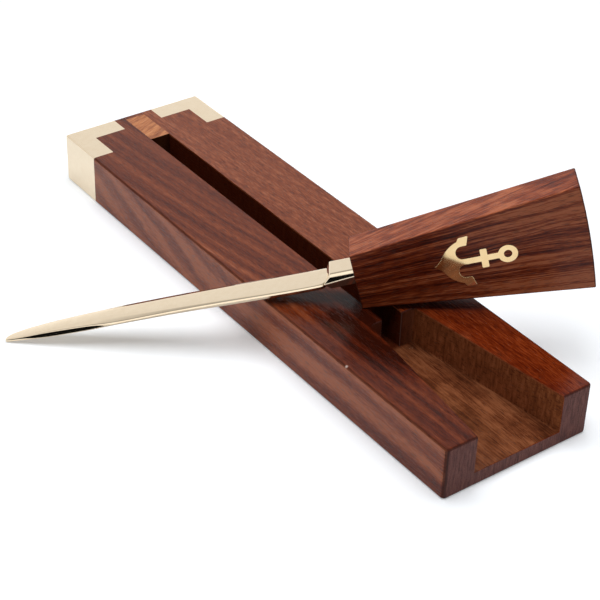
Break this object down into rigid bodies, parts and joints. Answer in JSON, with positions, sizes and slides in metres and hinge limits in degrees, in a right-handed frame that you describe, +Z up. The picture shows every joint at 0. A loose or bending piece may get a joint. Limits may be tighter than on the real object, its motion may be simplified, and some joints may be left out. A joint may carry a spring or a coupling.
{
  "type": "letter opener with desk stand",
  "caption": "Brass-bladed letter opener with a flared wooden handle and anchor inlay, resting across a grooved rosewood desk stand with brass corner caps.",
  "frame": {"origin": "middle of the stand's underside, on the surface that it stands on", "axes": "+Z up; +Y along the stand towards the end with the brass caps; +X to the right, seen from the open end of the recess"},
  "size_m": [0.1802, 0.25, 0.0737],
  "materials": {
    "stand_wood": "satin varnish over streaked rosewood",
    "plug_wood": "satin varnish over paler cross-grain wood",
    "handle_wood": "satin varnish over dark streaked rosewood",
    "cap_brass": "polished",
    "blade_brass": "polished",
    "inlay_brass": "polished"
  },
  "bodies": {
    "stand": {"stand_block": "stand_wood", "slot_plug": "plug_wood", "left_corner_cap": "cap_brass", "right_corner_cap": "cap_brass"},
    "opener": {"blade": "blade_brass", "bolster": "blade_brass", "handle": "handle_wood", "anchor_inlay": "inlay_brass"}
  },
  "joints": [
    {"name": "opener_lift", "type": "slide", "parent": "stand", "child": "opener", "axis": [0, 0, 1], "range_m": [0, 0.08]}
  ]
}
